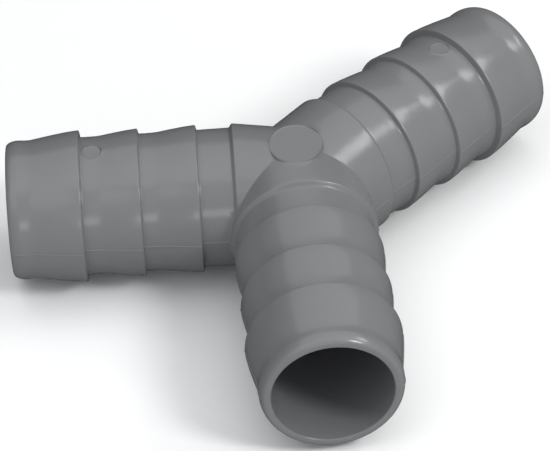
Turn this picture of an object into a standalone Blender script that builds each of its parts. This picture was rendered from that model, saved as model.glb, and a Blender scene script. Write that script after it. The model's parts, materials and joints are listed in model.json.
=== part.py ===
"""Barbed Y hose connector for 32 mm hose, moulded in one piece.

Three hose tails meet in a hub. Their axes lie in the XY plane, the mould's
parting plane, and +Z is up. Each tail is a turned profile: from the hub
outwards a smooth collar, a low shoulder, a plain neck, three barbs and a
rounded lip around the bore. Every barb is square on its hub side and slopes
down towards the mouth, so a hose slides on and doesn't slide off.

The collars lean a little: their middle lines meet beside the point where the
tails' axes cross. Neighbouring tails meet in a crease, found height by height,
and a small fillet rounds it. The bores run straight to the planes that halve
the angles between the axes, so the wall is one closed skin. Units are metres.
The origin is the centre of the connector's box.
"""

import math

import bmesh
import bpy
from mathutils import Vector

# Each tail: the direction it points in, and how much longer its collar is.
TAILS = {
    "left": (math.radians(177.0), 0.0),
    "front": (math.radians(270.0), 0.0019),
    "right": (math.radians(397.0), 0.0003),
}

# Where the collars' middle lines meet, from the point where the axes cross.
COLLARS_MEET = Vector((-0.0006, -0.0028))

# Along a tail, measured from the point where the axes cross.
SHOULDER = 0.0136
SHOULDER_RUN = 0.0007
BARBS = (0.0217, 0.0345, 0.0474)
BARB_BACK_RUN = 0.0003
RAMP_LENGTHS = (0.0090, 0.0088, 0.0112)
LIP_START = 0.0608
MOUTH = 0.0635

# Radii around a tail's axis.
COLLAR_RADIUS = 0.01615
NECK_RADIUS = 0.01525
BARB_RADII = (0.01632, 0.01634, 0.01680)
ROOT_RADIUS = 0.01520
LIP_RADIUS = 0.01535
BORE_RADIUS = 0.01298

# Roundings.
RAMP_POWER = 1.27
LIP_FACE_WIDTH = 0.0008
LIP_INNER_ROUND = 0.00035
CREASE_FILLET = 0.0006

# How finely the skin is divided.
SIDES = 48
RAMP_STEPS = 3
LIP_STEPS = 3
CREASE_STEPS = 2
SEAM_HALVINGS = 40
WELD = 1e-6

PLASTIC_GREY = (0.215, 0.220, 0.226, 1.0)
PLASTIC_ROUGHNESS = 0.36
SHARP_EDGE = math.radians(32.0)


def clear_scene():
    for old in list(bpy.data.objects):
        bpy.data.objects.remove(old, do_unlink=True)


def grey_plastic():
    material = bpy.data.materials.new("grey_plastic")
    material.use_nodes = True
    shader = material.node_tree.nodes["Principled BSDF"]
    shader.inputs["Base Color"].default_value = PLASTIC_GREY
    shader.inputs["Roughness"].default_value = PLASTIC_ROUGHNESS
    shader.inputs["Metallic"].default_value = 0.0
    return material


def ramp(crest, crest_radius, length):
    """Points down a barb's slope, a little steeper towards the mouth."""
    points = []
    for step in range(RAMP_STEPS + 1):
        share = step / RAMP_STEPS
        drop = (crest_radius - ROOT_RADIUS) * share**RAMP_POWER
        points.append((crest + length * share, crest_radius - drop))
    return points


def lip():
    """Points around the lip: outer rounding, flat mouth face, edge of the bore."""
    face_inside = BORE_RADIUS + LIP_INNER_ROUND
    face_outside = face_inside + LIP_FACE_WIDTH
    depth = MOUTH - LIP_START
    height = LIP_RADIUS - face_outside
    points = []
    for step in range(LIP_STEPS + 1):
        turn = 0.5 * math.pi * step / LIP_STEPS
        along = LIP_START + depth * math.sin(turn)
        points.append((along, face_outside + height * math.cos(turn)))
    points.append((MOUTH, face_inside))
    points.append((MOUTH - LIP_INNER_ROUND, BORE_RADIUS))
    return points


def tail_outline():
    """Points (distance, radius) from the first barb to the edge of the bore."""
    points = []
    for crest, crest_radius, length in zip(BARBS, BARB_RADII, RAMP_LENGTHS):
        points.append((crest - BARB_BACK_RUN, ROOT_RADIUS))
        points.extend(ramp(crest, crest_radius, length))
    points.extend(lip())
    return points


class Tail:
    """One tail, in plan from the point where the axes cross.

    Points of its wall are found from a distance along the axis, a side (1 or -1)
    and a height.
    """

    def __init__(self, name):
        self.angle, self.longer = TAILS[name]
        self.along = Vector((math.cos(self.angle), math.sin(self.angle)))
        self.across = Vector((-self.along.y, self.along.x))
        self.start = self.along.dot(COLLARS_MEET)
        self.offset = self.across.dot(COLLARS_MEET)
        self.shoulder = SHOULDER + self.longer
        self.neck_end = BARBS[0] - BARB_BACK_RUN + self.longer

    def gap_to(self, other):
        """Angle from this tail round to another one."""
        return (other.angle - self.angle) % (2.0 * math.pi)

    def meet(self, tails):
        """Finds the neighbours on both sides and the half angles to them."""
        others = sorted((other for other in tails if other is not self), key=self.gap_to)
        self.neighbours = {1.0: others[0], -1.0: others[-1]}
        self.halves = {1.0: 0.5 * self.gap_to(others[0]), -1.0: 0.5 * others[-1].gap_to(self)}

    def lean(self, distance):
        """How far the collar's middle lies beside the axis."""
        share = (self.shoulder - distance) / (self.shoulder - self.start)
        return self.offset * max(0.0, share)

    def radius(self, distance):
        """Radius of the outside from the hub to the neck."""
        down = (distance - self.shoulder) / SHOULDER_RUN
        return COLLAR_RADIUS + (NECK_RADIUS - COLLAR_RADIUS) * min(max(down, 0.0), 1.0)

    def wall(self, distance, side, height):
        """The outside's plan point."""
        out = math.sqrt(max(self.radius(distance) ** 2 - height**2, 0.0))
        return self.along * distance + self.across * (self.lean(distance) + side * out)

    def holds(self, spot, height):
        """Whether a plan point lies inside this tail's outside at a height."""
        distance = spot.dot(self.along)
        aside = spot.dot(self.across) - self.lean(distance)
        return aside**2 < self.radius(distance) ** 2 - height**2

    def seam(self, side, height):
        """How far out the outside comes free of the neighbour's outside."""
        near = self.start
        far = self.neck_end
        for _ in range(SEAM_HALVINGS):
            middle = 0.5 * (near + far)
            if self.neighbours[side].holds(self.wall(middle, side, height), height):
                near = middle
            else:
                far = middle
        return near

    def crease(self, turn, side):
        """The crease's fillet at one turn, and how far out it ends."""
        height = COLLAR_RADIUS * math.sin(turn)
        other = self.neighbours[side]
        length = CREASE_FILLET * abs(math.cos(turn)) / math.tan(self.halves[side])
        seam = self.seam(side, height)
        corner = self.wall(seam, side, height)
        own_end = self.wall(seam + length, side, height)
        other_end = other.wall(other.seam(-side, height) + length, -side, height)
        points = []
        for step in range(CREASE_STEPS + 1):
            share = 0.5 - 0.5 * step / CREASE_STEPS
            towards = own_end.lerp(corner, share)
            spot = towards.lerp(corner.lerp(other_end, share), share)
            points.append(Vector((spot.x, spot.y, height)))
        return points, seam + length

    def place(self, distance, radius, side, rise):
        """A point of the skin, at an angle above or below the parting plane."""
        out = self.lean(distance) + side * radius * math.cos(rise)
        spot = self.along * distance + self.across * out
        return Vector((spot.x, spot.y, radius * math.sin(rise)))

    def column(self, turn):
        """Points along the outside, around the lip and back inside, at one turn."""
        side = 1.0 if math.cos(turn) >= 0.0 else -1.0
        points, leave = self.crease(turn, side)
        sine = math.sin(turn)
        rise = math.asin(sine)
        first_rise = math.asin(max(-1.0, min(1.0, sine * COLLAR_RADIUS / self.radius(leave))))
        for distance in (0.5 * (leave + self.shoulder), self.shoulder, self.shoulder + SHOULDER_RUN):
            reach = max(leave, distance)
            share = (reach - leave) / (self.neck_end - leave)
            here = first_rise + (rise - first_rise) * share
            points.append(self.place(reach, self.radius(reach), side, here))
        for distance, radius in tail_outline():
            points.append(self.place(distance + self.longer, radius, side, rise))
        beside = side * BORE_RADIUS * math.cos(rise)
        end = self.along * abs(beside) / math.tan(self.halves[side]) + self.across * beside
        points.append(Vector((end.x, end.y, BORE_RADIUS * sine)))
        return points


def connector_mesh():
    """The skin of all three tails, joined where their walls and bores meet."""
    tails = [Tail(name) for name in TAILS]
    turns = [2.0 * math.pi * side / SIDES for side in range(SIDES)]
    skin = bmesh.new()
    for tail in tails:
        tail.meet(tails)
    for tail in tails:
        columns = [[skin.verts.new(point) for point in tail.column(turn)] for turn in turns]
        for here, following in zip(columns, columns[1:] + columns[:1]):
            for row in range(len(here) - 1):
                corners = (here[row], following[row], following[row + 1], here[row + 1])
                skin.faces.new(corners)
    bmesh.ops.remove_doubles(skin, verts=skin.verts, dist=WELD)
    bmesh.ops.recalc_face_normals(skin, faces=skin.faces)
    low = Vector(min(vert.co[axis] for vert in skin.verts) for axis in range(3))
    high = Vector(max(vert.co[axis] for vert in skin.verts) for axis in range(3))
    bmesh.ops.translate(skin, verts=skin.verts, vec=-0.5 * (low + high))
    mesh = bpy.data.meshes.new("connector_body")
    skin.to_mesh(mesh)
    skin.free()
    return mesh


def main():
    clear_scene()
    mesh = connector_mesh()
    mesh.materials.append(grey_plastic())
    mesh.shade_smooth()
    mesh.set_sharp_from_angle(angle=SHARP_EDGE)
    body = bpy.data.objects.new("connector_body", mesh)
    bpy.context.scene.collection.objects.link(body)


main()
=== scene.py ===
import json
import math

import bmesh
import bpy
import numpy as np
from mathutils import Matrix, Vector
from mathutils.geometry import delaunay_2d_cdt, intersect_line_line


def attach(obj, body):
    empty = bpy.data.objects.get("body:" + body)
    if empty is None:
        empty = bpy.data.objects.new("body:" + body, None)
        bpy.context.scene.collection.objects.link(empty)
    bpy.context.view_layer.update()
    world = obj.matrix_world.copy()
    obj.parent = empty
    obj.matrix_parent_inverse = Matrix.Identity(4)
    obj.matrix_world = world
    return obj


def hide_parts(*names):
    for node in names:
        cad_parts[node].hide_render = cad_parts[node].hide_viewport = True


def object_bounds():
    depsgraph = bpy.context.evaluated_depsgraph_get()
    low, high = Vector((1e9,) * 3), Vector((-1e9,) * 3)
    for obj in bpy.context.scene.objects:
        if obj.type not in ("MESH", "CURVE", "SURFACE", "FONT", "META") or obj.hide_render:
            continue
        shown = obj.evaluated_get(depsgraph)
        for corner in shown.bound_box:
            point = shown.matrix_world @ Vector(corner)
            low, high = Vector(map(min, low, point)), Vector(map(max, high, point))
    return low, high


# Looks of the barbed Y hose connector: one satin grey moulding on a pale floor.
#
# One fine skin stands for the CAD body. It has the CAD body's profile, and adds
# what a mould leaves on the real part: rounded corners, the raised parting line,
# a slightly oval gate pad on the hub, and an ejector mark on the left and right
# tails, on the hub side of the outermost barb. The pad and the marks are flat,
# each with a fine raised rim. Units are metres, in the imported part's frame. The
# tails' axes lie at z = 0.

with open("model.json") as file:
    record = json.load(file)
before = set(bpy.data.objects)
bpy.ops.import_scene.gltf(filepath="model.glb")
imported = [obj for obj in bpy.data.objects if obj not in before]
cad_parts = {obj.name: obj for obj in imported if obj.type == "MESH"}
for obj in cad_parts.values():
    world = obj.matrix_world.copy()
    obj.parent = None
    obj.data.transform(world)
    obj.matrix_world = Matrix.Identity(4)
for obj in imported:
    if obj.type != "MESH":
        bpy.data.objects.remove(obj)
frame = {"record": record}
CAD_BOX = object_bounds()

# Where the collars' middle lines meet, from the point where the tails' axes cross.
COLLARS_MEET = (-0.0006, -0.0028)

# Along a tail, from the point where the axes cross.
SHOULDER = 0.0136
SHOULDER_RUN = 0.0007
BARBS = (0.0217, 0.0345, 0.0474)
BARB_BACK_RUN = 0.0003
RAMP_LENGTHS = (0.0090, 0.0088, 0.0112)
LIP_START = 0.0608
MOUTH = 0.0635
NECK_END = 0.0208

# Radii around a tail's axis.
COLLAR_RADIUS = 0.01615
NECK_RADIUS = 0.01525
BARB_RADII = (0.01632, 0.01634, 0.01680)
ROOT_RADIUS = 0.01520
LIP_RADIUS = 0.01535
BORE_RADIUS = 0.01298

# Shape of a ramp, and the roundings of the corners.
RAMP_POWER = 1.27
LIP_FACE_WIDTH = 0.0008
LIP_INNER_ROUND = 0.00035
CREASE_FILLET = 0.0006
SHOULDER_ROUND = 0.00035
ROOT_ROUND = 0.00022
CREST_ROUND = 0.00028
RAMP_END_ROUND = 0.016
LIP_END_ROUND = 0.012

# Marks left by the mould.
RIDGE_HEIGHT = 0.00012
RIDGE_SHOULDER = 0.7
RIDGE_TURNS = (math.radians(0.30), math.radians(0.60))
PAD_CENTRE = (-0.0001, -0.0027)
PAD_RADIUS = 0.0059
PAD_STRETCH = 1.12
PAD_HEIGHT = 0.01598
MARKED_TAILS = ("left", "right")
EJECTOR_DISTANCE = 0.0445
EJECTOR_RADIUS = 0.0022
EJECTOR_HEIGHT = 0.01508
RIM_HEIGHT = 0.00006
RIM_HALF_WIDTH = 0.00012

# Round regions of the skin that are divided anew, for the marks and for the
# underside of the hub, where the thin faces of all the collars come together. A
# vertex further than BETWEEN_WALLS from the axes' plane is on the outside.
HUB_PATCH_RADIUS = 0.0063
UNDERSIDE_PATCH_RADIUS = 0.25 * HUB_PATCH_RADIUS
EJECTOR_PATCH_RADIUS = 0.00245
BETWEEN_WALLS = BORE_RADIUS + 0.4 * (ROOT_RADIUS - BORE_RADIUS)
PATCH_ROWS = 14
PATCH_LEAST_RING = 8
PATCH_CLEARANCE = 0.0001
PATCH_MERGE = 1e-9

# How finely the skin is divided.
SIDES = 216
CREASE_STEPS = 5
COLLAR_STEPS = 8
NECK_STEPS = 6
RAMP_STEPS = 4
ARC_STEPS = 4
ARC_SHARE = 0.45
LIP_STEPS = 14
BORE_ROWS = 10
BORE_BLEND_START = 0.0165
MARK_SIDES = 144
SEAM_HALVINGS = 40
WELD = 1e-6
SHARP_EDGE = math.radians(32.0)


def turns_around():
    """Angles around a tail, with extra ones where the parting line is."""
    turns = {2.0 * math.pi * side / SIDES for side in range(SIDES)}
    for middle in (0.0, math.pi):
        for offset in RIDGE_TURNS:
            turns.add((middle + offset) % (2.0 * math.pi))
            turns.add((middle - offset) % (2.0 * math.pi))
    return np.array(sorted(turns))


# At each turn: the side of the axis, how far out sideways on a circle of radius 1,
# and the angle above or below the parting plane.
TURNS = turns_around()
SIDE = np.where(np.cos(TURNS) >= 0.0, 1.0, -1.0)
SIDEWAYS = np.abs(np.cos(TURNS))
RISE = np.arcsin(np.clip(np.sin(TURNS), -1.0, 1.0))


def ridge_profile():
    """Share of the parting line's full height at each turn."""
    return np.interp(np.abs(RISE), (0.0, *RIDGE_TURNS), (1.0, RIDGE_SHOULDER, 0.0))


RIDGE = ridge_profile()


def rounded(corners):
    """The outline through corners (distance, radius, rounding), with arcs for corners.

    An arc takes up at most ARC_SHARE of each edge beside its corner.
    """
    points = []
    for index, (distance, radius, rounding) in enumerate(corners):
        here = Vector((distance, radius))
        if rounding == 0.0:
            points.append((distance, radius))
            continue
        before = Vector(corners[index - 1][:2]) - here
        after = Vector(corners[index + 1][:2]) - here
        opening = before.angle(after)
        reach = rounding / math.tan(0.5 * opening)
        start = here + before.normalized() * min(reach, ARC_SHARE * before.length)
        end = here + after.normalized() * min(reach, ARC_SHARE * after.length)
        for step in range(ARC_STEPS + 1):
            share = step / ARC_STEPS
            first = start.lerp(here, share)
            second = here.lerp(end, share)
            points.append(tuple(first.lerp(second, share)))
    return points


def shoulder_outline():
    """The chamfer between collar and neck, as distances past its start."""
    lead = 3.0 * SHOULDER_ROUND
    points = rounded(
        [
            (-lead, COLLAR_RADIUS, 0.0),
            (0.0, COLLAR_RADIUS, SHOULDER_ROUND),
            (SHOULDER_RUN, NECK_RADIUS, SHOULDER_ROUND),
            (SHOULDER_RUN + lead, NECK_RADIUS, 0.0),
        ]
    )
    return points[1:-1]


def barb_corners(crest, crest_radius, length):
    """Corners of one barb: its root, its crest and the points down its ramp."""
    corners = [
        (crest - BARB_BACK_RUN, ROOT_RADIUS, ROOT_ROUND),
        (crest, crest_radius, CREST_ROUND),
    ]
    for step in range(1, RAMP_STEPS):
        share = step / RAMP_STEPS
        drop = (crest_radius - ROOT_RADIUS) * share**RAMP_POWER
        corners.append((crest + length * share, crest_radius - drop, 0.0))
    corners.append((crest + length, ROOT_RADIUS, RAMP_END_ROUND))
    return corners


def tail_outline():
    """Points (distance, radius) from the neck over the barbs to the mouth's bore edge."""
    corners = [(NECK_END, neck_radius(NECK_END), 0.0)]
    for barb in zip(BARBS, BARB_RADII, RAMP_LENGTHS):
        corners.extend(barb_corners(*barb))
    face_inside = BORE_RADIUS + LIP_INNER_ROUND
    face_outside = face_inside + LIP_FACE_WIDTH
    for step in range(LIP_STEPS + 1):
        turn = 0.5 * math.pi * step / LIP_STEPS
        distance = LIP_START + (MOUTH - LIP_START) * math.sin(turn)
        radius = face_outside + (LIP_RADIUS - face_outside) * math.cos(turn)
        corners.append((distance, radius, LIP_END_ROUND if step == 0 else 0.0))
    corners.append((MOUTH, BORE_RADIUS, LIP_INNER_ROUND))
    corners.append((BORE_BLEND_START, BORE_RADIUS, 0.0))
    points = rounded(corners)
    return points[:-1]


def neck_radius(distance):
    """The neck narrows a little from the shoulder to the first barb's root."""
    ends = (SHOULDER + SHOULDER_RUN, BARBS[0] - BARB_BACK_RUN)
    return float(np.interp(distance, ends, (NECK_RADIUS, ROOT_RADIUS)))


def wall_profile():
    """The outside from the hub to the neck's end, as distances and radii."""
    points = [(0.0, COLLAR_RADIUS)]
    points.extend((SHOULDER + past, radius) for past, radius in shoulder_outline())
    points.append((NECK_END, neck_radius(NECK_END)))
    return np.array(points).T


WALL_PROFILE = wall_profile()


class Tail:
    """One hose tail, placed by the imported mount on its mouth.

    Its collar isn't quite straight: the collars of all tails lean so that their
    middle lines meet a little beside the point where the tails' axes cross.
    """

    def __init__(self, mount):
        self.along = Vector(mount["axis"]).normalized()
        self.across = Vector((-self.along.y, self.along.x, 0.0))
        self.mouth = Vector(mount["pos_m"])
        self.mouth.z = 0.0
        self.angle = math.atan2(self.along.y, self.along.x)

    def settle(self, hub, tails):
        """Works out the tail's extra length and its neighbours on either side."""
        self.hub = hub
        self.longer = (self.mouth - hub).length - MOUTH
        self.start = self.along.xy.dot(COLLARS_MEET)
        self.offset = self.across.xy.dot(COLLARS_MEET)
        others = [other for other in tails if other is not self]
        others.sort(key=lambda other: (other.angle - self.angle) % (2.0 * math.pi))
        self.after, self.before = others
        gap_after = (self.after.angle - self.angle) % (2.0 * math.pi)
        gap_before = (self.angle - self.before.angle) % (2.0 * math.pi)
        self.half = np.where(SIDE > 0.0, 0.5 * gap_after, 0.5 * gap_before)

    def lean(self, distance):
        """How far the collar's middle lies beside the tail's axis."""
        end = SHOULDER + self.longer
        share = (end - distance) / (end - self.start)
        return self.offset * np.clip(share, 0.0, 1.0)

    def radius(self, distance):
        """Radius of the outside between the hub and the neck's end."""
        return np.interp(distance - self.longer, *WALL_PROFILE)

    def wall(self, distance, side, height):
        """Plan points of the outside at the given heights, from the axes' crossing."""
        out = np.sqrt(np.maximum(self.radius(distance) ** 2 - height**2, 0.0))
        aside = self.lean(distance) + side * out
        return np.outer(distance, self.along.xy) + np.outer(aside, self.across.xy)

    def holds(self, points, height):
        """Whether plan points at the given heights lie inside this tail's outside."""
        distance = points @ np.array(self.along.xy)
        aside = points @ np.array(self.across.xy) - self.lean(distance)
        return aside**2 < self.radius(distance) ** 2 - height**2

    def seam(self, side, height):
        """How far out the outside comes free of the neighbour's, at each height."""
        neighbour = self.after if side > 0.0 else self.before
        near = np.full_like(height, self.start)
        far = np.full_like(height, NECK_END)
        for _ in range(SEAM_HALVINGS):
            middle = 0.5 * (near + far)
            inside = neighbour.holds(self.wall(middle, side, height), height)
            near = np.where(inside, middle, near)
            far = np.where(inside, far, middle)
        return near

    def crease(self):
        """Half of the fillet in each crease: its rings, and where it leaves the crease."""
        height = COLLAR_RADIUS * np.sin(TURNS)
        length = CREASE_FILLET * SIDEWAYS / np.tan(self.half)
        corner = np.zeros((len(TURNS), 2))
        own_end = np.zeros((len(TURNS), 2))
        other_end = np.zeros((len(TURNS), 2))
        leave = np.zeros_like(TURNS)
        for side, neighbour in ((1.0, self.after), (-1.0, self.before)):
            here = SIDE == side
            seam = self.seam(side, height[here])
            leave[here] = seam + length[here]
            corner[here] = self.wall(seam, side, height[here])
            own_end[here] = self.wall(leave[here], side, height[here])
            other_seam = neighbour.seam(-side, height[here])
            other_end[here] = neighbour.wall(other_seam + length[here], -side, height[here])
        outwards = 0.5 * (own_end + other_end) - corner
        rings = []
        for step in range(CREASE_STEPS + 1):
            share = 0.5 - 0.5 * step / CREASE_STEPS
            spot = (1.0 - share) ** 2 * own_end + 2.0 * share * (1.0 - share) * corner
            spot = spot + share**2 * other_end
            course = (1.0 - share) * (corner - own_end) + share * (other_end - corner)
            normal = np.stack((-course[:, 1], course[:, 0]), axis=1)
            normal *= np.sign(np.sum(normal * outwards, axis=1))[:, None]
            normal /= np.maximum(np.linalg.norm(normal, axis=1), 1e-12)[:, None]
            spot = spot + normal * (RIDGE_HEIGHT * RIDGE)[:, None]
            ring = np.column_stack((spot, height)) + np.array(self.hub)
            rings.append((ring, leave - length * (step < CREASE_STEPS)))
        return rings, leave

    def place(self, distance, radius, rise=RISE, ridge=0.0):
        """One ring of points: distance, radius and rise may differ around the ring."""
        out = radius * np.cos(rise) + ridge * RIDGE_HEIGHT * RIDGE
        aside = self.lean(distance) + SIDE * out
        points = np.outer(distance, self.along) + np.outer(aside, self.across)
        points[:, 2] = radius * np.sin(rise)
        return points + np.array(self.hub)

    def outer_rings(self):
        """(points, reach) from the meeting line with the neighbours to the bore's edge."""
        rings, leave = self.crease()
        ratio = COLLAR_RADIUS * np.sin(TURNS) / self.radius(leave)
        first_rise = np.arcsin(np.clip(ratio, -1.0, 1.0))
        neck_end = NECK_END + self.longer
        profile = [past for past, _ in shoulder_outline()]
        edge = SHOULDER + self.longer + profile[0]
        reaches = []
        for step in range(1, COLLAR_STEPS):
            reaches.append(np.maximum(leave, leave + (edge - leave) * step / COLLAR_STEPS))
        for past in profile:
            reaches.append(np.maximum(leave, SHOULDER + self.longer + past))
        neck_start = reaches[-1]
        for step in range(1, NECK_STEPS):
            reaches.append(neck_start + (neck_end - neck_start) * step / NECK_STEPS)
        for reach in reaches:
            rise = first_rise + (RISE - first_rise) * (reach - leave) / (neck_end - leave)
            rings.append((self.place(reach, self.radius(reach), rise, 1.0), reach))
        for distance, radius in tail_outline():
            on_outside = distance < MOUTH and radius > BORE_RADIUS + LIP_FACE_WIDTH
            reach = np.full_like(TURNS, distance + self.longer)
            rings.append((self.place(reach, radius, ridge=1.0 if on_outside else 0.0), reach))
        return rings

    def bore_rings(self):
        """(points, reach) down the bore to the line where it meets the other bores."""
        meeting = BORE_RADIUS * SIDEWAYS / np.tan(self.half)
        start = MOUTH - 2.0 * LIP_INNER_ROUND + self.longer
        rings = []
        for step in range(1, BORE_ROWS + 1):
            share = step / BORE_ROWS
            reach = start + (meeting - start) * share
            points = np.outer(reach, self.along) + np.outer(SIDE * BORE_RADIUS * SIDEWAYS, self.across)
            points[:, 2] = BORE_RADIUS * np.sin(TURNS)
            rings.append((points + np.array(self.hub), reach))
        return rings


def read_tails():
    """The tails in order around the hub, and the point where their axes cross."""
    mounts = {mount["name"]: mount for mount in frame["record"]["mounts"]}
    tails = {name: Tail(mounts[name + "_mouth"]) for name in ("left", "front", "right")}
    left, front = tails["left"], tails["front"]
    hub = intersect_line_line(
        left.mouth, left.mouth + left.along, front.mouth, front.mouth + front.along
    )[0]
    for tail in tails.values():
        tail.settle(hub, tails.values())
    return tails, hub


def skin_mesh(tails):
    """The tails' rings as one closed mesh, welded where walls and bores meet."""
    points = []
    reaches = []
    faces = []
    count = len(TURNS)
    for tail in tails.values():
        rings = tail.outer_rings() + tail.bore_rings()
        base = len(points) * count
        for ring, reach in rings:
            points.append(ring)
            reaches.append(reach)
        for row in range(len(rings) - 1):
            near = base + row * count
            for column in range(count):
                here = near + column
                following = near + (column + 1) % count
                faces.append((here, following, following + count, here + count))
    mesh = bpy.data.meshes.new("connector_skin")
    mesh.from_pydata(np.concatenate(points).tolist(), [], faces)
    reach_layer = mesh.attributes.new("reach", "FLOAT", "POINT")
    reach_layer.data.foreach_set("value", np.concatenate(reaches).astype(np.float32))
    return mesh


def hub_height(x, y, tails):
    """Height of the collars over a point given from the axes' crossing."""
    highest = 0.0
    for tail in tails.values():
        reach = tail.along.xy.dot((x, y))
        aside = tail.across.xy.dot((x, y)) - tail.lean(reach)
        if reach >= tail.start:
            highest = max(highest, COLLAR_RADIUS**2 - aside**2)
    return math.sqrt(highest)


def tail_height(x, y, tail, outline):
    """Height of a tail's skin over a point given from the axes' crossing."""
    spot = Vector((x, y, 0.0))
    reach = spot.dot(tail.along) - tail.longer
    aside = spot.dot(tail.across)
    radius = float(np.interp(reach, outline[0], outline[1]))
    return math.sqrt(radius**2 - aside**2)


def patch(
    skin, hub, centre, patch_radius, height, mark_radius=0.0, mark_height=0.0, side=1.0, stretch=1.0
):
    """Divides a round region of the skin anew, so that a flat round mark has a clean edge.

    centre is (x, y) from the axes' crossing, and height gives the plain skin's
    height over such a point. With no mark_radius the region stays plain. side is
    1 for the top and -1 for the underside, and stretch makes the region and the
    mark longer along Y than along X.
    """

    def off_centre(spot):
        return math.hypot(spot[0] - centre[0], (spot[1] - centre[1]) / stretch)

    gone = [
        vert
        for vert in skin.verts
        if side * vert.co.z > BETWEEN_WALLS and off_centre(vert.co.xy - hub.xy) < patch_radius
    ]
    bmesh.ops.delete(skin, geom=gone, context="VERTS")
    rim_edges = [edge for edge in skin.edges if edge.is_boundary]
    rim = sorted({vert for edge in rim_edges for vert in edge.verts}, key=lambda vert: vert.index)
    place = {vert: index for index, vert in enumerate(rim)}
    flat = [vert.co.xy - hub.xy for vert in rim]
    bars = [tuple(place[vert] for vert in edge.verts) for edge in rim_edges]

    def ring(radius, count, closed):
        first = len(flat)
        for step in range(count):
            turn = 2.0 * math.pi * (step + 0.5) / count
            forward = radius * stretch * math.sin(turn)
            flat.append(Vector((centre[0] + radius * math.cos(turn), centre[1] + forward)))
        if closed:
            bars.extend((first + step, first + (step + 1) % count) for step in range(count))

    clear = min(off_centre(spot) for spot in flat) - PATCH_CLEARANCE
    spacing = patch_radius / PATCH_ROWS
    radius = spacing
    while radius < clear:
        if abs(radius - mark_radius) > 0.5 * spacing:
            ring(radius, max(PATCH_LEAST_RING, int(2.0 * math.pi * radius / spacing)), False)
        radius += spacing
    if mark_radius > 0.0:
        for step in (-1.0, 0.0, 1.0):
            ring(mark_radius + step * RIM_HALF_WIDTH, MARK_SIDES, True)
    flat_out, _, triangles, origin, _, _ = delaunay_2d_cdt(flat, bars, [], 1, PATCH_MERGE)
    reach_layer = skin.verts.layers.float["reach"]
    made = []
    for spot, sources in zip(flat_out, origin):
        if sources and sources[0] < len(rim):
            made.append(rim[sources[0]])
            continue
        level = height(spot.x, spot.y)
        past = (off_centre(spot) - mark_radius) / RIM_HALF_WIDTH
        if past < -0.5:
            level = mark_height
        elif past < 0.5:
            level = max(level, mark_height) + RIM_HEIGHT
        vert = skin.verts.new((hub.x + spot.x, hub.y + spot.y, side * level))
        vert[reach_layer] = spot.length
        made.append(vert)
    for triangle in triangles:
        skin.faces.new([made[index] for index in triangle])


def make_skin(tails, hub):
    """The connector's whole surface as one seamless object."""
    mesh = skin_mesh(tails)
    skin = bmesh.new()
    skin.from_mesh(mesh)
    bmesh.ops.remove_doubles(skin, verts=skin.verts, dist=WELD)
    skin.verts.index_update()

    def over_hub(x, y):
        return hub_height(x, y, tails)

    patch(
        skin, hub, PAD_CENTRE, HUB_PATCH_RADIUS, over_hub, PAD_RADIUS, PAD_HEIGHT, stretch=PAD_STRETCH
    )
    skin.verts.index_update()
    patch(skin, hub, COLLARS_MEET, UNDERSIDE_PATCH_RADIUS, over_hub, side=-1.0)
    past_mark = EJECTOR_DISTANCE + 2.0 * EJECTOR_RADIUS
    outer_radius = BORE_RADIUS + LIP_FACE_WIDTH
    outside = [point for point in tail_outline() if point[0] < past_mark and point[1] > outer_radius]
    outline = list(zip(*outside))
    for name in MARKED_TAILS:
        tail = tails[name]
        distance = EJECTOR_DISTANCE + tail.longer
        spot = tail.along * distance

        def over_tail(x, y, tail=tail):
            return tail_height(x, y, tail, outline)

        skin.verts.index_update()
        patch(
            skin, hub, (spot.x, spot.y), EJECTOR_PATCH_RADIUS, over_tail, EJECTOR_RADIUS, EJECTOR_HEIGHT
        )
    bmesh.ops.recalc_face_normals(skin, faces=skin.faces)
    skin.to_mesh(mesh)
    skin.free()
    mesh.shade_smooth()
    mesh.set_sharp_from_angle(angle=SHARP_EDGE)
    piece = bpy.data.objects.new("connector_skin", mesh)
    bpy.context.scene.collection.objects.link(piece)
    return piece


# The plastic: its colours, its sheen and the heights of its fine relief.
BASE_GREY = (0.186, 0.187, 0.189, 1.0)
DEEP_GREY = (0.166, 0.168, 0.171, 1.0)
PLASTIC_IOR = 1.49
ROUGHNESS_RANGE = (0.14, 0.27)
WAVE_DEPTH = 0.00008
RING_DEPTH = 0.000010
GRAIN_DEPTH = 0.000004


def node(tree, kind, **values):
    """A shader node, with its inputs set by name."""
    made = tree.nodes.new(kind)
    for name, value in values.items():
        made.inputs[name.replace("_", " ")].default_value = value
    return made


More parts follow.
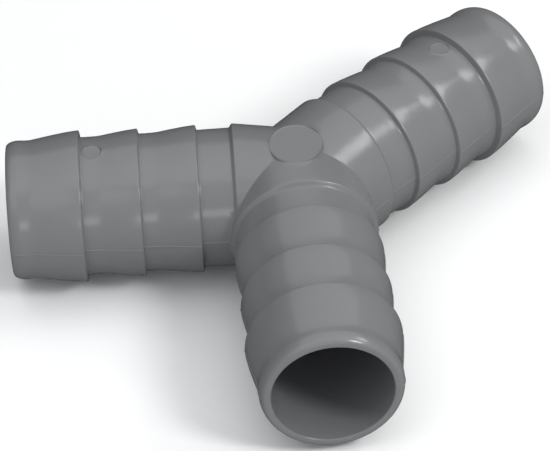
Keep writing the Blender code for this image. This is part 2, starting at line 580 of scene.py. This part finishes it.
def plastic_material():
    """Satin polypropylene: soft mottling, fine turned rings and a slight waviness."""
    material = bpy.data.materials.new("satin_grey_plastic")
    material.use_nodes = True
    tree = material.node_tree
    link = tree.links.new
    shader = tree.nodes["Principled BSDF"]
    shader.inputs["IOR"].default_value = PLASTIC_IOR
    shader.inputs["Metallic"].default_value = 0.0
    place = tree.nodes.new("ShaderNodeTexCoord")

    mottle = node(tree, "ShaderNodeTexNoise", Scale=95.0, Detail=4.0, Roughness=0.55)
    link(place.outputs["Object"], mottle.inputs["Vector"])
    colours = tree.nodes.new("ShaderNodeMix")
    colours.data_type = "RGBA"
    colours.inputs["A"].default_value = BASE_GREY
    colours.inputs["B"].default_value = DEEP_GREY
    link(mottle.outputs["Fac"], colours.inputs["Factor"])
    link(colours.outputs["Result"], shader.inputs["Base Color"])

    sheen = node(tree, "ShaderNodeTexNoise", Scale=260.0, Detail=3.0, Roughness=0.6)
    link(place.outputs["Object"], sheen.inputs["Vector"])
    rough = tree.nodes.new("ShaderNodeMapRange")
    rough.inputs["To Min"].default_value = ROUGHNESS_RANGE[0]
    rough.inputs["To Max"].default_value = ROUGHNESS_RANGE[1]
    link(sheen.outputs["Fac"], rough.inputs["Value"])
    link(rough.outputs["Result"], shader.inputs["Roughness"])

    reach = tree.nodes.new("ShaderNodeAttribute")
    reach.attribute_name = "reach"
    rings = node(tree, "ShaderNodeTexNoise", Scale=1500.0, Detail=3.0)
    rings.noise_dimensions = "1D"
    link(reach.outputs["Fac"], rings.inputs["W"])
    waves = node(tree, "ShaderNodeTexNoise", Scale=140.0, Detail=2.0, Roughness=0.5)
    link(place.outputs["Object"], waves.inputs["Vector"])
    grain = node(tree, "ShaderNodeTexNoise", Scale=2600.0, Detail=2.0, Roughness=0.5)
    link(place.outputs["Object"], grain.inputs["Vector"])

    normal = None
    for texture, depth in ((waves, WAVE_DEPTH), (rings, RING_DEPTH), (grain, GRAIN_DEPTH)):
        bump = node(tree, "ShaderNodeBump", Strength=1.0, Distance=depth)
        link(texture.outputs["Fac"], bump.inputs["Height"])
        if normal is not None:
            link(normal, bump.inputs["Normal"])
        normal = bump.outputs["Normal"]
    link(normal, shader.inputs["Normal"])
    return material


# The studio: a pale floor, and a pale round wall that closes it off in low views.
PALE_WHITE = (0.93, 0.93, 0.92, 1.0)
PALE_ROUGHNESS = 0.9
FLOOR_SIZE = 6.0
FLOOR_SPECULAR = 0.1
BACKDROP_RADIUS = 2.9
BACKDROP_HEIGHT = 3.0
BACKDROP_SIDES = 96
BACKDROP_GLOW = 0.35


def pale_material(name):
    """A plain matte material, and its shader's inputs."""
    material = bpy.data.materials.new(name)
    material.use_nodes = True
    inputs = material.node_tree.nodes["Principled BSDF"].inputs
    inputs["Base Color"].default_value = PALE_WHITE
    inputs["Roughness"].default_value = PALE_ROUGHNESS
    return material, inputs


def make_floor(level):
    """The floor, which the object's plastic doesn't mirror."""
    material, inputs = pale_material("pale_floor")
    inputs["Specular IOR Level"].default_value = FLOOR_SPECULAR
    mesh = bpy.data.meshes.new("floor")
    edge = 0.5 * FLOOR_SIZE
    corners = [(-edge, -edge, level), (edge, -edge, level), (edge, edge, level), (-edge, edge, level)]
    mesh.from_pydata(corners, [], [(0, 1, 2, 3)])
    mesh.materials.append(material)
    floor = bpy.data.objects.new("floor", mesh)
    bpy.context.scene.collection.objects.link(floor)
    floor.visible_glossy = False


def make_backdrop(level):
    """A plain round wall far around the object, which only the camera sees."""
    material, inputs = pale_material("pale_backdrop")
    inputs["Emission Color"].default_value = PALE_WHITE
    inputs["Emission Strength"].default_value = BACKDROP_GLOW
    wall = bmesh.new()
    bmesh.ops.create_circle(wall, segments=BACKDROP_SIDES, radius=BACKDROP_RADIUS)
    top = bmesh.ops.extrude_edge_only(wall, edges=wall.edges[:])["geom"]
    lifted = [item for item in top if isinstance(item, bmesh.types.BMVert)]
    bmesh.ops.translate(wall, verts=lifted, vec=(0.0, 0.0, BACKDROP_HEIGHT))
    bmesh.ops.translate(wall, verts=wall.verts, vec=(0.0, 0.0, level))
    mesh = bpy.data.meshes.new("backdrop")
    wall.to_mesh(mesh)
    wall.free()
    mesh.shade_smooth()
    mesh.materials.append(material)
    backdrop = bpy.data.objects.new("backdrop", mesh)
    backdrop.visible_diffuse = False
    backdrop.visible_glossy = False
    backdrop.visible_shadow = False
    bpy.context.scene.collection.objects.link(backdrop)


def direction(azimuth, elevation):
    """Unit vector from the object towards an azimuth and an elevation in degrees.

    Azimuth 0 is the side the front tail points to, and 90 is +X.
    """
    turn = math.radians(azimuth)
    rise = math.radians(elevation)
    flat = math.cos(rise)
    return Vector((math.sin(turn) * flat, -math.cos(turn) * flat, math.sin(rise)))


def softbox(name, azimuth, elevation, distance, width, height, radiance, aim):
    """A rectangular lamp that faces aim, as strong as its face's radiance asks."""
    lamp = bpy.data.lights.new(name, "AREA")
    lamp.shape = "RECTANGLE"
    lamp.size = width
    lamp.size_y = height
    lamp.energy = radiance * math.pi * width * height
    holder = bpy.data.objects.new(name, lamp)
    towards = direction(azimuth, elevation)
    holder.location = aim + towards * distance
    holder.rotation_euler = towards.to_track_quat("Z", "Y").to_euler()
    bpy.context.scene.collection.objects.link(holder)


SOFTBOXES = (
    # name, azimuth, elevation, distance, width, height, radiance
    ("overhead", 172.0, 76.0, 1.3, 2.2, 2.0, 0.78),
    ("key", 50.0, 43.0, 0.9, 0.21, 0.21, 24.0),
    ("side", 98.0, 43.0, 0.9, 0.30, 0.19, 6.5),
    ("left", -55.0, 45.0, 1.0, 0.7, 0.5, 0.8),
    ("front", -4.0, 14.0, 1.0, 0.30, 0.20, 2.5),
)

# The room is light in front of the object and above it, dark behind and below.
LIGHT_SIDE = direction(0.0, 40.0)
ROOM_TURNS = (-0.35, 0.95)
ROOM_LIGHT = (0.04, 0.60)
ROOM_COLOUR = (0.96, 0.99, 1.04, 1.0)


def light_studio(aim):
    for box in SOFTBOXES:
        softbox(*box, aim)
    world = bpy.data.worlds.new("studio")
    world.use_nodes = True
    tree = world.node_tree
    place = tree.nodes.new("ShaderNodeTexCoord")
    facing = tree.nodes.new("ShaderNodeVectorMath")
    facing.operation = "DOT_PRODUCT"
    facing.inputs[1].default_value = LIGHT_SIDE
    tree.links.new(place.outputs["Generated"], facing.inputs[0])
    strength = tree.nodes.new("ShaderNodeMapRange")
    strength.interpolation_type = "SMOOTHSTEP"
    strength.inputs["From Min"].default_value = ROOM_TURNS[0]
    strength.inputs["From Max"].default_value = ROOM_TURNS[1]
    strength.inputs["To Min"].default_value = ROOM_LIGHT[0]
    strength.inputs["To Max"].default_value = ROOM_LIGHT[1]
    tree.links.new(facing.outputs["Value"], strength.inputs["Value"])
    background = tree.nodes["Background"]
    background.inputs["Color"].default_value = ROOM_COLOUR
    tree.links.new(strength.outputs["Result"], background.inputs["Strength"])
    bpy.context.scene.world = world


# The camera looks at a point of the axes' plane, given from the axes' crossing.
CAMERA_AIM = (-0.00612, -0.01045, 0.0)
CAMERA_AZIMUTH = -4.469
CAMERA_ELEVATION = 40.774
CAMERA_ROLL = 2.715
CAMERA_DISTANCE = 0.74769
CAMERA_LENS = 223.67
CAMERA_SENSOR = 36.0


def make_camera(hub):
    data = bpy.data.cameras.new("camera")
    data.sensor_width = CAMERA_SENSOR
    data.lens = CAMERA_LENS
    data.clip_start = 0.01
    data.clip_end = 20.0
    camera = bpy.data.objects.new("camera", data)
    back = direction(CAMERA_AZIMUTH, CAMERA_ELEVATION)
    level = (-back).to_track_quat("-Z", "Y").to_matrix()
    roll = Matrix.Rotation(-math.radians(CAMERA_ROLL), 3, "Z")
    camera.matrix_world = Matrix.Translation(hub + Vector(CAMERA_AIM) + back * CAMERA_DISTANCE) @ (
        level @ roll
    ).to_4x4()
    bpy.context.scene.collection.objects.link(camera)
    bpy.context.scene.camera = camera


tails, hub = read_tails()
make_camera(hub)
skin = make_skin(tails, hub)
skin.data.materials.append(plastic_material())
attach(skin, "root")
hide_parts("connector_body")
make_floor(CAD_BOX[0].z)
make_backdrop(CAD_BOX[0].z)
light_studio(hub)
bpy.context.scene.view_settings.view_transform = "Standard"
